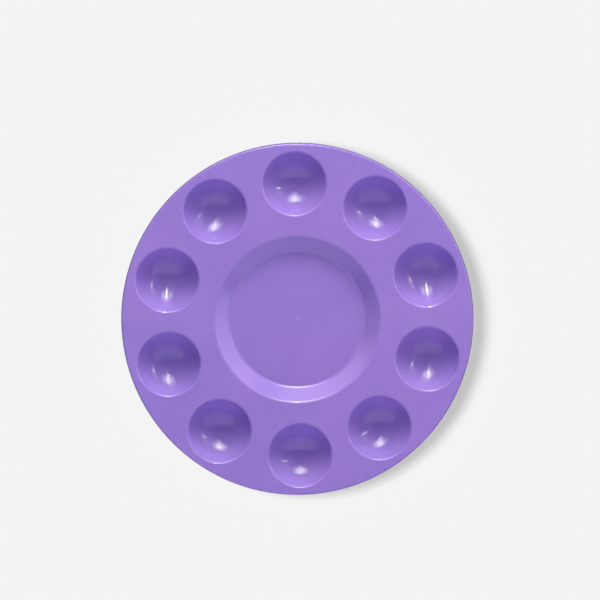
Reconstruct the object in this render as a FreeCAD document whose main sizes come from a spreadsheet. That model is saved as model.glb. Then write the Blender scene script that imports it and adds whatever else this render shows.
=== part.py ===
"""Round mixing palette: one injection moulding with a ring of paint wells around a mixing pan.

Frame: origin on the table at the palette's axis, +Z up, one well on +Y. Millimetres.
"""
import FreeCAD, Part
import Sketcher
import math
import os

# Driving sizes: name, value, what it is.
SIZES = [
    ("palette_diameter", 170.0, "outer diameter at the foot of the skirt"),
    ("palette_height", 14.0, "table to the top of the deck"),
    ("wall", 1.3, "wall of the deck, bowls, pan and skirt"),
    ("skirt_draft", 2.0, "how far the skirt leans out towards its foot, degrees"),
    ("rim_round", 0.8, "rounding where the deck turns down into the skirt"),
    ("foot_round", 0.3, "rounding of both edges of the foot"),
    ("root_round", 0.4, "rounding in the corners of the underside"),
    ("well_count", 10, "paint wells in the ring"),
    ("rim_land", 3.9, "deck between a well's mouth and the deck's edge"),
    ("well_web", 10.0, "deck between the mouths of two neighbouring wells"),
    ("well_lip_round", 1.2, "rounding of a well's mouth"),
    ("bowl_clearance", 0.7, "space under a bowl when the skirt stands on the table"),
    ("pan_land", 10.1, "deck between a well's mouth and the pan's mouth"),
    ("pan_depth", 6.5, "deck to the floor of the mixing pan"),
    ("pan_slope", 41.0, "slope of the pan's side from level, degrees"),
    ("pan_mouth_round", 2.0, "rounding of the pan's mouth"),
    ("pan_floor_round", 2.4, "rounding between the pan's side and floor"),
    ("gate_diameter", 2.6, "mark of the injection gate in the middle of the pan"),
    ("gate_dimple", 0.15, "depth of that mark in the pan's floor"),
    ("gate_stub", 0.4, "height of the trimmed gate below the pan's floor"),
    ("pin_diameter", 5.0, "ejector pin mark under the deck"),
    ("pin_depth", 0.15, "depth of an ejector pin mark"),
    ("pin_inset", 9.0, "deck's edge to the middle of an ejector pin mark"),
]

# Sizes worked out from the driving ones: name, expression.
DERIVED = [
    ("foot_radius", "sizes.palette_diameter / 2"),
    ("deck_radius", "sizes.palette_diameter / 2 - sizes.palette_height * tan(sizes.skirt_draft)"),
    ("half_pitch_sine", "sin(180 / sizes.well_count)"),
    (
        "well_radius",
        "((derived.deck_radius - sizes.rim_land) * derived.half_pitch_sine - sizes.well_web / 2)"
        " / (1 + derived.half_pitch_sine)",
    ),
    ("well_ring", "derived.deck_radius - sizes.rim_land - derived.well_radius"),
    ("well_depth", "sizes.palette_height - sizes.wall - sizes.bowl_clearance"),
    (
        "bowl_radius",
        "(derived.well_radius * derived.well_radius + derived.well_depth * derived.well_depth)"
        " / (2 * derived.well_depth)",
    ),
    ("bowl_centre", "sizes.palette_height - derived.well_depth + derived.bowl_radius"),
    ("pan_radius", "derived.well_ring - derived.well_radius - sizes.pan_land"),
    ("pan_floor_radius", "derived.pan_radius - sizes.pan_depth / tan(sizes.pan_slope)"),
    ("pan_floor", "sizes.palette_height - sizes.pan_depth"),
    ("deck_underside", "sizes.palette_height - sizes.wall"),
    ("bend_shift", "sizes.wall * tan(sizes.pan_slope / 2)"),
    ("skirt_wall", "sizes.wall / cos(sizes.skirt_draft)"),
    ("skirt_lean", "derived.deck_underside * tan(sizes.skirt_draft)"),
    ("pin_ring", "derived.deck_radius - sizes.pin_inset"),
]

TOOL_OVERRUN = 1.0  # a cutting profile runs this far out of the solid
NEAR = 0.01  # two lengths closer than this are the same


def make_sizes(doc):
    """The sheet of driving sizes, and the set of sizes that follow from it."""
    sheet = doc.addObject("Spreadsheet::Sheet", "sizes")
    for row, (name, number, meaning) in enumerate(SIZES, start=1):
        sheet.set(f"A{row}", meaning)
        sheet.set(f"B{row}", str(number))
        sheet.setAlias(f"B{row}", name)
    doc.recompute()
    derived = doc.addObject("App::VarSet", "derived")
    for name, expression in DERIVED:
        derived.addProperty("App::PropertyFloat", name, "Derived")
        derived.setExpression(name, expression)
    doc.recompute()
    return sheet, derived


def origin_feature(body, role):
    """One of the body's own origin planes or axes."""
    return next(item for item in body.Origin.OriginFeatures if item.Role == role)


def new_sketch(body, name, plane):
    """A sketch whose first axis is across the palette and whose second is up."""
    sketch = body.newObject("Sketcher::SketchObject", name)
    sketch.AttachmentSupport = [(origin_feature(body, plane), "")]
    sketch.MapMode = "FlatFace"
    return sketch


def value(sketch, expression):
    """What an expression on the sizes comes to now."""
    return float(sketch.evalExpression(expression))


def hold(sketch, kind, geometry, point, expression):
    """Hold a point's distance from the sketch's origin at an expression."""
    at = sketch.addConstraint(
        Sketcher.Constraint(kind, -1, 1, geometry, point, value(sketch, expression))
    )
    sketch.setExpression(f"Constraints[{at}]", expression)


def hold_point(sketch, geometry, point, across, up):
    """Hold a point at its place across and up. None leaves that direction free."""
    for kind, axis, expression in (("DistanceX", -2, across), ("DistanceY", -1, up)):
        if expression == "0":
            sketch.addConstraint(Sketcher.Constraint("PointOnObject", geometry, point, axis))
        elif expression is not None:
            hold(sketch, kind, geometry, point, expression)


def draw_outline(sketch, corners):
    """A closed outline of straight lines through corners, each a pair of expressions."""
    points = [FreeCAD.Vector(value(sketch, x), value(sketch, y), 0) for x, y in corners]
    following = points[1:] + points[:1]
    for start, end in zip(points, following):
        sketch.addGeometry(Part.LineSegment(start, end))
    for i, (across, up) in enumerate(corners):
        before = (i - 1) % len(corners)
        sketch.addConstraint(Sketcher.Constraint("Coincident", before, 2, i, 1))
        hold_point(sketch, i, 1, across, up)


def draw_half_bowl(sketch, radius, bottom, rim, top):
    """Half of a round bowl's section: its middle line, top, edge, and arc to the bottom."""
    ring = value(sketch, "derived.well_ring")
    centre = value(sketch, "derived.bowl_centre")
    arc_radius = value(sketch, radius)
    rim_up = value(sketch, rim)
    rim_across = ring + math.sqrt(arc_radius**2 - (centre - rim_up) ** 2)
    low = FreeCAD.Vector(ring, value(sketch, bottom), 0)
    high = FreeCAD.Vector(ring, value(sketch, top), 0)
    corner = FreeCAD.Vector(rim_across, high.y, 0)
    edge = FreeCAD.Vector(rim_across, rim_up, 0)
    circle = Part.Circle(FreeCAD.Vector(ring, centre, 0), FreeCAD.Vector(0, 0, 1), arc_radius)
    rim_angle = -math.asin((centre - rim_up) / arc_radius)
    middle = sketch.addGeometry(Part.LineSegment(low, high))
    across = sketch.addGeometry(Part.LineSegment(high, corner))
    down = sketch.addGeometry(Part.LineSegment(corner, edge))
    arc = sketch.addGeometry(Part.ArcOfCircle(circle, -math.pi / 2, rim_angle))
    joins = [(middle, 2, across, 1), (across, 2, down, 1), (down, 2, arc, 2), (arc, 1, middle, 1)]
    for join in joins:
        sketch.addConstraint(Sketcher.Constraint("Coincident", *join))
    sketch.addConstraint(Sketcher.Constraint("Vertical", middle))
    sketch.addConstraint(Sketcher.Constraint("Horizontal", across))
    sketch.addConstraint(Sketcher.Constraint("Vertical", down))
    hold_point(sketch, middle, 1, "derived.well_ring", bottom)
    hold_point(sketch, middle, 2, None, top)
    hold_point(sketch, down, 2, None, rim)
    hold_point(sketch, arc, 3, "derived.well_ring", "derived.bowl_centre")
    return middle


def turn(body, kind, name, sketch, middle=None):
    """Turn a sketch right round, about the palette's axis or about a line of the sketch."""
    feature = body.newObject(f"PartDesign::{kind}", name)
    feature.Profile = sketch
    if middle is None:
        feature.ReferenceAxis = (origin_feature(body, "Z_Axis"), [""])
    else:
        feature.ReferenceAxis = (sketch, [f"Edge{middle + 1}"])
    feature.Angle = 360.0
    return feature


def ring_of(body, name, features):
    """Repeat features round the palette's axis, one for each well."""
    pattern = body.newObject("PartDesign::PolarPattern", name)
    pattern.Originals = features
    pattern.Axis = (origin_feature(body, "Z_Axis"), [""])
    pattern.Angle = 360.0
    pattern.setExpression("Occurrences", "sizes.well_count")
    body.Tip = pattern
    return pattern


def round_edges(body, name, size, base, levels):
    """Round the circular edges that lie at given radii and heights, in number as expected."""
    body.Document.recompute()
    wanted = []
    for radius, height, count in levels:
        found = [
            f"Edge{i}"
            for i, edge in enumerate(base.Shape.Edges, start=1)
            if not edge.Degenerated
            and isinstance(edge.Curve, Part.Circle)
            and abs(edge.Curve.Radius - radius) < NEAR
            and abs(edge.Curve.Center.z - height) < NEAR
        ]
        if len(found) != count:
            raise RuntimeError(f"{name}: {len(found)} edges at radius {radius}, not {count}")
        wanted += found
    fillet = body.newObject("PartDesign::Fillet", name)
    fillet.Base = (base, wanted)
    fillet.setExpression("Radius", size)
    body.Tip = fillet
    return fillet


def draw_shell(body):
    """The deck, the skirt and the pan: one wall turned about the palette's axis."""
    sketch = new_sketch(body, "shell_section", "XZ_Plane")
    corners = [
        ("0", "derived.pan_floor"),
        ("derived.pan_floor_radius", "derived.pan_floor"),
        ("derived.pan_radius", "sizes.palette_height"),
        ("derived.deck_radius", "sizes.palette_height"),
        ("derived.foot_radius", "0"),
        ("derived.foot_radius - derived.skirt_wall", "0"),
        (
            "derived.foot_radius - derived.skirt_lean - derived.skirt_wall",
            "derived.deck_underside",
        ),
        ("derived.pan_radius + derived.bend_shift", "derived.deck_underside"),
        ("derived.pan_floor_radius + derived.bend_shift", "derived.pan_floor - sizes.wall"),
        ("0", "derived.pan_floor - sizes.wall"),
    ]
    draw_outline(sketch, corners)
    return turn(body, "Revolution", "shell", sketch)


def draw_wells(body):
    """The ring of bowls: each a round wall hanging from the deck, then hollowed from above."""
    wall_sketch = new_sketch(body, "bowl_wall_section", "YZ_Plane")
    middle = draw_half_bowl(
        wall_sketch,
        radius="derived.bowl_radius + sizes.wall",
        bottom="sizes.bowl_clearance",
        rim="derived.deck_underside",
        top="sizes.palette_height - sizes.wall / 2",
    )
    bowl_wall = turn(body, "Revolution", "bowl_wall", wall_sketch, middle)
    hollow_sketch = new_sketch(body, "bowl_hollow_section", "YZ_Plane")
    middle = draw_half_bowl(
        hollow_sketch,
        radius="derived.bowl_radius",
        bottom="sizes.bowl_clearance + sizes.wall",
        rim="sizes.palette_height",
        top=f"sizes.palette_height + {TOOL_OVERRUN}",
    )
    bowl_hollow = turn(body, "Groove", "bowl_hollow", hollow_sketch, middle)
    return ring_of(body, "ring_of_wells", [bowl_wall, bowl_hollow])


def round_everything(body, base, derived, sheet):
    """The roundings, outside first: well lips, rim, foot, the pan and the underside's corners."""
    count = int(sheet.well_count)
    height = sheet.palette_height
    under = derived.deck_underside
    floor = derived.pan_floor
    floor_under = floor - sheet.wall
    pan = derived.pan_radius
    pan_floor = derived.pan_floor_radius
    bend = derived.bend_shift
    inner_foot = derived.foot_radius - derived.skirt_wall
    skirt_root = inner_foot - derived.skirt_lean
    bowl_outer = derived.bowl_radius + sheet.wall
    root = math.sqrt(bowl_outer**2 - (derived.bowl_centre - under) ** 2)
    steps = [
        ("well_lips", "sizes.well_lip_round", [(derived.well_radius, height, count)]),
        ("rim", "sizes.rim_round", [(derived.deck_radius, height, 1)]),
        ("foot", "sizes.foot_round", [(derived.foot_radius, 0, 1), (inner_foot, 0, 1)]),
        ("pan_mouth", "sizes.pan_mouth_round", [(pan, height, 1)]),
        ("pan_mouth_under", "sizes.pan_mouth_round - sizes.wall", [(pan + bend, under, 1)]),
        ("pan_floor_edge", "sizes.pan_floor_round", [(pan_floor, floor, 1)]),
        ("pan_floor_under", "sizes.pan_floor_round + sizes.wall", [(pan_floor + bend, floor_under, 1)]),
        ("underside_roots", "sizes.root_round", [(root, under, count), (skirt_root, under, 1)]),
    ]
    for name, size, levels in steps:
        base = round_edges(body, name, size, base, levels)
    return base


def draw_moulding_marks(body):
    """What the mould leaves: the gate under the pan, its dimple, and the ejector pins' marks."""
    radius = "sizes.gate_diameter / 2"
    under = "derived.pan_floor - sizes.wall"
    stub_sketch = new_sketch(body, "gate_stub_section", "XZ_Plane")
    low, high = f"{under} - sizes.gate_stub", f"{under} + sizes.wall / 2"
    draw_outline(stub_sketch, [("0", low), (radius, low), (radius, high), ("0", high)])
    turn(body, "Revolution", "gate_stub", stub_sketch)
    dimple_sketch = new_sketch(body, "gate_dimple_section", "XZ_Plane")
    low, high = "derived.pan_floor - sizes.gate_dimple", f"derived.pan_floor + {TOOL_OVERRUN}"
    draw_outline(dimple_sketch, [("0", low), (radius, low), (radius, high), ("0", high)])
    turn(body, "Groove", "gate_dimple", dimple_sketch)
    pin_sketch = new_sketch(body, "ejector_mark_section", "XZ_Plane")
    middle, edge = "derived.pin_ring", "derived.pin_ring + sizes.pin_diameter / 2"
    low = f"derived.deck_underside - {TOOL_OVERRUN}"
    high = "derived.deck_underside + sizes.pin_depth"
    draw_outline(pin_sketch, [(middle, high), (middle, low), (edge, low), (edge, high)])
    mark = turn(body, "Groove", "ejector_mark", pin_sketch, middle=0)
    return ring_of(body, "ring_of_ejector_marks", [mark])


def make_palette_tray(doc, sheet, derived):
    """The whole palette: a single moulding."""
    body = doc.addObject("PartDesign::Body", "palette_tray")
    body.Label = "palette_tray"
    draw_shell(body)
    wells = draw_wells(body)
    round_everything(body, wells, derived, sheet)
    draw_moulding_marks(body)
    body.Placement = FreeCAD.Placement()
    return body


def check(doc, bodies):
    """Stop if any object failed, or if a sub-part isn't one sound solid."""
    for item in doc.Objects:
        if "Invalid" in item.State or "Error" in item.State:
            raise RuntimeError(f"{item.Label} failed: {item.State}")
    for body in bodies:
        shape = body.Shape
        if shape.isNull() or not shape.isValid() or len(shape.Solids) != 1:
            raise RuntimeError(f"{body.Label} isn't one sound solid")


def check_cuts(body):
    """Stop if a cutting feature removed nothing or an adding one added nothing."""
    volume = 0.0
    for feature in body.Group:
        if not feature.isDerivedFrom("PartDesign::Feature"):
            continue
        change = feature.Shape.Volume - volume
        volume = feature.Shape.Volume
        print(f"{feature.Label:24s} {change:+12.2f} mm3")
        if abs(change) < NEAR:
            raise RuntimeError(f"{feature.Label} changes nothing")


def main():
    doc = FreeCAD.newDocument("mixing_palette")
    sheet, derived = make_sizes(doc)
    bodies = [make_palette_tray(doc, sheet, derived)]
    doc.recompute()
    check(doc, bodies)
    os.makedirs("parts", exist_ok=True)
    for body in bodies:
        check_cuts(body)
        body.Shape.exportStep(f"parts/{body.Label}.step")
        box = body.Shape.optimalBoundingBox(False)
        print(f"{body.Label} {box.XLength:.2f} x {box.YLength:.2f} x {box.ZLength:.2f} mm")


main()
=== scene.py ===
import math
import bpy
from mathutils import Matrix, Vector


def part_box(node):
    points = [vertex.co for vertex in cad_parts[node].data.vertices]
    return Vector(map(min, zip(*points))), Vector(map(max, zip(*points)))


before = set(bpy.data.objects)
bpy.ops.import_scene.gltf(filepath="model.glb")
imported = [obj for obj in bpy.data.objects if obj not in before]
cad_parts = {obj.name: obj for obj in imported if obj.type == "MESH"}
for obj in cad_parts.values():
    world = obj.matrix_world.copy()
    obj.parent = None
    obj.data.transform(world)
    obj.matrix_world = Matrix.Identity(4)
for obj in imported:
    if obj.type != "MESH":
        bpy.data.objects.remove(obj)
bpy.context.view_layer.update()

MM = 0.001

# ---------------------------------------------------------------- the palette's own measures
LOW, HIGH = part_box("palette_tray")
MIDDLE = (LOW + HIGH) / 2
DECK_TOP = HIGH.z
PAN_DEPTH = 6.5 * MM
PAN_FLOOR = DECK_TOP - PAN_DEPTH
GATE_RADIUS = 1.3 * MM


# ---------------------------------------------------------------- shader maths
class Value:
    """A socket that + - and * work on, each by adding a Math node to its material."""

    def __init__(self, shader, socket):
        self.shader = shader
        self.socket = socket

    def maths(self, operation, first, second):
        return self.shader.node("ShaderNodeMath", {"operation": operation}, {0: first, 1: second})

    def __add__(self, other):
        return self.maths("ADD", self, other)

    def __radd__(self, other):
        return self.maths("ADD", other, self)

    def __sub__(self, other):
        return self.maths("SUBTRACT", self, other)

    def __mul__(self, other):
        return self.maths("MULTIPLY", self, other)

    def __rmul__(self, other):
        return self.maths("MULTIPLY", other, self)


# A Mix node has a socket of each kind under one name, so its colour sockets go by number.
FIRST_COLOUR, SECOND_COLOUR = 6, 7
MIXED_COLOUR = 2


class Shader:
    """A material or world and the one way of adding nodes to it."""

    def __init__(self, owner):
        owner.use_nodes = True
        self.owner = owner
        self.nodes = owner.node_tree.nodes
        self.links = owner.node_tree.links
        self.nodes.clear()

    def node(self, kind, settings=None, sockets=None, output=0):
        """Add a node: its settings first, then its sockets' values or links."""
        made = self.nodes.new(kind)
        for name, setting in (settings or {}).items():
            setattr(made, name, setting)
        for name, given in (sockets or {}).items():
            if isinstance(given, Value):
                self.links.new(given.socket, made.inputs[name])
            else:
                made.inputs[name].default_value = given
        return Value(self, made.outputs[output]) if len(made.outputs) else made

    def mix(self, share, first, second):
        """A colour between two colours."""
        sockets = {"Factor": share, FIRST_COLOUR: first, SECOND_COLOUR: second}
        return self.node("ShaderNodeMix", {"data_type": "RGBA"}, sockets, output=MIXED_COLOUR)

    def ramp(self, value, stops):
        """A straight ramp between two stops, each a value and the level it gives."""
        (start, low), (end, high) = stops
        sockets = {"Value": value, "From Min": start, "From Max": end, "To Min": low, "To Max": high}
        return self.node("ShaderNodeMapRange", None, sockets)

    def noise(self, place, scale, detail):
        """Soft random lumps, from 0 to 1."""
        return self.node("ShaderNodeTexNoise", None, {"Vector": place, "Scale": scale, "Detail": detail})

    def vector(self, operation, first, second=None, scale=None):
        """A vector worked out from one or two others."""
        sockets = {0: first}
        if second is not None:
            sockets[1] = second
        if scale is not None:
            sockets["Scale"] = scale
        return self.node("ShaderNodeVectorMath", {"operation": operation}, sockets)

    def distance(self, first, second):
        """How far apart two places are."""
        settings = {"operation": "DISTANCE"}
        return self.node("ShaderNodeVectorMath", settings, {0: first, 1: second}, output="Value")


# ---------------------------------------------------------------- the plastic
VIOLET = (0.306, 0.206, 0.632, 1.0)
VIOLET_DEEP = (0.280, 0.187, 0.602, 1.0)
VIOLET_WARM = (0.322, 0.203, 0.622, 1.0)
# painted shade: a darker copy of the violet, laid into the dents
DENT_SHADE = (0.150, 0.085, 0.330, 1.0)
BLUSH = (0.380, 0.270, 0.720, 1.0)
GLOSS = 0.180
DRAG = 0.945  # how much the radial flow lines stretch a reflection round the palette
BLUSH_REACH = 1.6 * GATE_RADIUS  # how far the paler plastic round the gate goes
SPOT_CORE = 0.35  # the share of a spot's reach that is at its full strength
RELIEF = 0.02 * MM  # how deep the skin's relief would be at full strength
RELIEF_STRENGTH = 0.10

# Lumps to the metre in the colour and the skin.
WARM_PATCHES = 24.0
SCRATCHED_PATCHES = 25.0
BENDS = 40.0
CLOUDS = 55.0
PEEL = 320.0
GRAIN = 1100.0

# Streaks from the gate: how many to a radian, how fast they change outwards, and each set's own seed.
STREAKS, STREAK_SEED = 26.0, 3.0
FINE_STREAKS, FINE_SEED = 70.0, 11.0
STREAK_DRIFT = 9.0

# Scratches are the edges of cells that are long in X and narrow in Y, on a place that is bent a little.
BEND_WAY = (0.6, 0.8, 0.0)
BEND_REACH = 30 * MM
SCRATCH_STRETCH = (9.0, 55.0, 9.0)
SCRATCH_CELLS = 3.0
SCRATCH_WIDTH = 0.010  # as a share of a cell

# Dents left by handling, whose colour is painted darker as shade in them: distance from the axis, angle
# from +X, width across. Millimetres, degrees.
DENTS = [
    (78.8, 69.0, 1.1),
    (78.6, 42.0, 0.9),
    (79.4, 35.0, 0.8),
    (75.0, 143.5, 0.8),
    (76.2, 250.0, 0.6),
]


def flow_lines(shader, place, fineness, seed):
    """Streaks that run out from the gate, where the plastic flowed into the mould."""
    flat = shader.vector("MULTIPLY", place, (1.0, 1.0, 0.0))
    outward = shader.vector("NORMALIZE", flat)
    spread = shader.vector("SCALE", outward, scale=fineness)
    drift = shader.vector("SCALE", flat, scale=STREAK_DRIFT)
    along = shader.vector("ADD", spread, drift)
    moved = shader.vector("ADD", along, (seed, 0.0, seed))
    return shader.noise(moved, 1.0, 2.0)


def near(shader, place, spot, reach):
    """1 in the core of a spot, falling to 0 at its reach."""
    gap = shader.distance(place, spot)
    core = reach * SPOT_CORE
    sockets = {"Value": gap, "From Min": reach, "From Max": core, "To Min": 0.0, "To Max": 1.0}
    return shader.node("ShaderNodeMapRange", {"interpolation_type": "SMOOTHSTEP"}, sockets)


def handling_marks(shader, place):
    """Small dents in the deck, where the plastic also paints shade."""
    marks = 0.0
    for distance, angle, across in DENTS:
        turn = math.radians(angle)
        spot = (distance * MM * math.cos(turn), distance * MM * math.sin(turn), DECK_TOP)
        marks = marks + near(shader, place, spot, across / 2 * MM)
    return marks


def hairlines(shader, place):
    """Sparse fine scratches from wiping the palette clean."""
    bent = shader.noise(place, BENDS, 1.0)
    lean = shader.vector("ADD", place, shader.vector("SCALE", BEND_WAY, scale=bent * BEND_REACH))
    stretched = shader.vector("MULTIPLY", lean, SCRATCH_STRETCH)
    sockets = {"Vector": stretched, "Scale": SCRATCH_CELLS, "Randomness": 1.0}
    edges = shader.node("ShaderNodeTexVoronoi", {"feature": "DISTANCE_TO_EDGE"}, sockets)
    line = shader.ramp(edges, [(0.0, 1.0), (SCRATCH_WIDTH, 0.0)])
    patches = shader.ramp(shader.noise(place, SCRATCHED_PATCHES, 1.0), [(0.56, 0.0), (0.66, 1.0)])
    return line * patches


def violet_plastic():
    """Glossy opaque violet polystyrene, moulded through one gate in the middle."""
    shader = Shader(bpy.data.materials.new("violet_plastic"))
    place = shader.node("ShaderNodeTexCoord", output="Object")
    cloud = shader.noise(place, CLOUDS, 3.0)
    warmth = shader.ramp(shader.noise(place, WARM_PATCHES, 2.0), [(0.45, 0.0), (0.65, 1.0)])
    grain = shader.noise(place, GRAIN, 2.0)
    streaks = flow_lines(shader, place, STREAKS, STREAK_SEED)
    fine_streaks = flow_lines(shader, place, FINE_STREAKS, FINE_SEED)
    dents = handling_marks(shader, place)
    scratches = hairlines(shader, place)
    gate = near(shader, place, (0.0, 0.0, PAN_FLOOR), BLUSH_REACH)

    shade = 0.45 * cloud + 0.30 * streaks + 0.25 * grain
    colour = shader.mix(shader.ramp(shade, [(0.36, 0.0), (0.62, 1.0)]), VIOLET_DEEP, VIOLET)
    colour = shader.mix(0.5 * warmth, colour, VIOLET_WARM)
    colour = shader.mix(0.45 * gate + 0.22 * scratches, colour, BLUSH)
    # painted shade in the dents: their violet is made darker, as if in shadow
    colour = shader.mix(0.9 * dents, colour, DENT_SHADE)

    unevenness = 0.05 * (streaks - 0.5) + 0.05 * (fine_streaks - 0.5) + 0.03 * (cloud - 0.5)
    roughness = GLOSS + unevenness + 0.10 * scratches + 0.20 * dents

    skin = 0.6 * shader.noise(place, PEEL, 1.0) + 0.25 * grain + 0.4 * fine_streaks
    height = skin - 6.0 * dents - 0.5 * scratches
    bump = {"Strength": RELIEF_STRENGTH, "Distance": RELIEF, "Height": height}
    plastic = {
        "Base Color": colour,
        "Roughness": roughness,
        "IOR": 1.5,
        "Anisotropic": DRAG,
        "Normal": shader.node("ShaderNodeBump", None, bump),
    }
    surface = shader.node("ShaderNodeBsdfPrincipled", None, plastic)
    shader.node("ShaderNodeOutputMaterial", None, {"Surface": surface})
    return shader.owner


def finish_palette():
    """Give the moulding its plastic."""
    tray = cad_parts["palette_tray"]
    plastic = violet_plastic()
    for slot in tray.material_slots:
        slot.material = plastic
    return tray


# ---------------------------------------------------------------- studio
PAGE = 0.896  # how bright the table looks
TABLE_GREY = 0.06  # its own colour: dark enough not to pick up violet from the palette
TABLE_WIDTH = 6.0

# The table's light: most of it from straight above, and a share from the left that casts the soft shadow.
SHADE = 0.40
SHADE_AZIMUTH = 170
SHADE_ZENITH = 28
SHADE_SPREAD = 24.0
TOP_SPREAD = 1.0


def make_table():
    """A plain pale table, as wide as the eye can see."""
    half = TABLE_WIDTH / 2
    grey = (TABLE_GREY, TABLE_GREY, TABLE_GREY, 1.0)
    mesh = bpy.data.meshes.new("table")
    corners = [(-half, -half, 0), (half, -half, 0), (half, half, 0), (-half, half, 0)]
    mesh.from_pydata(corners, [], [(0, 1, 2, 3)])
    table = bpy.data.objects.new("table", mesh)
    bpy.context.scene.collection.objects.link(table)
    shader = Shader(bpy.data.materials.new("pale_table"))
    surface = shader.node("ShaderNodeBsdfDiffuse", None, {"Color": grey})
    shader.node("ShaderNodeOutputMaterial", None, {"Surface": surface})
    mesh.materials.append(shader.owner)
    table.location.z = LOW.z
    table.visible_glossy = False  # so that the rim doesn't mirror the bright table
    return table


def only_for(name, pieces):
    """A collection that a light can be told to light, and nothing else."""
    group = bpy.data.collections.new(name)
    for piece in pieces:
        group.objects.link(piece)
    return group


def towards(azimuth, zenith):
    """The direction at an azimuth from +X towards +Y and an angle down from straight up."""
    a, z = math.radians(azimuth), math.radians(zenith)
    return Vector((math.sin(z) * math.cos(a), math.sin(z) * math.sin(a), math.cos(z)))


def make_panel(name, azimuth, foot, head, width, radiance, tint, group):
    """A lamp that runs up from its foot to its head, each a zenith angle and a distance.

    Its width is the angle that it takes up, seen from the palette, and its radiance is how bright it looks.
    """
    palette = Vector((MIDDLE.x, MIDDLE.y, DECK_TOP))
    low = towards(azimuth, foot[0]) * foot[1]
    high = towards(azimuth, head[0]) * head[1]
    side = towards(azimuth + 90, 90)
    up = (high - low).normalized()
    light = bpy.data.lights.new(name, "AREA")
    light.shape = "RECTANGLE"
    light.size = 2 * ((low + high) / 2).length * math.tan(math.radians(width / 2))
    light.size_y = (high - low).length
    light.energy = radiance * math.pi * light.size * light.size_y
    light.color = tint
    panel = bpy.data.objects.new(name, light)
    bpy.context.scene.collection.objects.link(panel)
    axes = Matrix((side, up, side.cross(up))).transposed()
    panel.matrix_world = Matrix.Translation(palette + (low + high) / 2) @ axes.to_4x4()
    panel.light_linking.receiver_collection = group


def make_sun(name, azimuth, zenith, spread, strength, group):
    """A distant soft lamp."""
    light = bpy.data.lights.new(name, "SUN")
    light.angle = math.radians(spread)
    light.energy = strength
    sun = bpy.data.objects.new(name, light)
    bpy.context.scene.collection.objects.link(sun)
    sun.rotation_mode = "QUATERNION"
    sun.rotation_quaternion = towards(azimuth, zenith).to_track_quat("Z", "Y")
    sun.light_linking.receiver_collection = group


WARM = (1.04, 1.03, 0.92)
COOL = (0.99, 0.91, 1.20)

# name, azimuth, foot and head (zenith angle, distance), width, radiance, tint
PANELS = [
    ("key_strip", 90, (72, 1.0), (34, 1.6), 3.0, 40.0, WARM),
    ("window", 90, (78, 2.0), (48, 2.0), 34, 7.7, WARM),
    ("right_wall", 30, (78, 2.0), (62, 2.0), 34, 2.9, WARM),
    ("side_lamp", 18, (62, 2.0), (57, 2.0), 3, 52.0, WARM),
    ("front_card", 270, (48, 2.0), (21, 2.0), 100, 1.25, COOL),
    ("front_wall", 270, (78, 2.0), (48, 2.0), 105, 1.05, COOL),
    ("low_right", 20, (90, 2.0), (78, 2.0), 90, 1.5, COOL),
    ("low_back", 110, (90, 2.0), (78, 2.0), 90, 1.6, COOL),
    ("low_front", 270, (90, 2.0), (78, 2.0), 110, 1.1, COOL),
]


def make_lights(tray, table):
    """The lamps that light the palette, and the two that light the table."""
    for_palette = only_for("lit_palette", [tray])
    for_table = only_for("lit_table", [table])
    for panel in PANELS:
        make_panel(*panel, for_palette)
    full = math.pi * PAGE / TABLE_GREY
    slanted = full * SHADE / math.cos(math.radians(SHADE_ZENITH))
    make_sun("table_light", 0, 0, TOP_SPREAD, full * (1 - SHADE), for_table)
    make_sun("table_shade", SHADE_AZIMUTH, SHADE_ZENITH, SHADE_SPREAD, slanted, for_table)


def make_world():
    """Pale surroundings to look at, which light nothing."""
    world = bpy.data.worlds.new("studio")
    bpy.context.scene.world = world
    shader = Shader(world)
    seen = shader.node("ShaderNodeLightPath", output="Is Camera Ray")
    page = {"Color": (PAGE, PAGE, PAGE, 1.0), "Strength": seen}
    shown = shader.node("ShaderNodeBackground", None, page)
    shader.node("ShaderNodeOutputWorld", None, {"Surface": shown})


# ---------------------------------------------------------------- camera
LENS = 500.0  # millimetres, as the sensor
SENSOR = 36.0
VIEW_WIDTH = 288.6 * MM  # how much of the deck's plane the picture is wide
VIEW_RIGHT = 1.3 * MM  # the middle of the view from the palette's axis
VIEW_UP = 9.3 * MM
TURN = -1.18  # degrees about the palette's axis
LEAN = 1.0  # degrees off straight down, towards the wells at the top


def make_camera():
    """A long lens looking almost straight down on the deck."""
    data = bpy.data.cameras.new("camera")
    data.lens = LENS
    data.sensor_width = SENSOR
    camera = bpy.data.objects.new("camera", data)
    bpy.context.scene.collection.objects.link(camera)
    bpy.context.scene.camera = camera
    distance = VIEW_WIDTH * LENS / SENSOR
    turn = Matrix.Rotation(math.radians(TURN), 4, "Z")
    lean = Matrix.Rotation(math.radians(-LEAN), 4, "X")
    target = Matrix.Translation((MIDDLE.x, MIDDLE.y, DECK_TOP)) @ turn
    look = Matrix.Translation((VIEW_RIGHT, VIEW_UP, 0)) @ lean @ Matrix.Translation((0, 0, distance))
    camera.matrix_world = target @ look
    data.clip_start = distance / 10
    data.clip_end = distance * 10


# ---------------------------------------------------------------- all of it
bpy.context.scene.view_settings.view_transform = "Standard"
tray = finish_palette()
table = make_table()
make_lights(tray, table)
make_world()
make_camera()
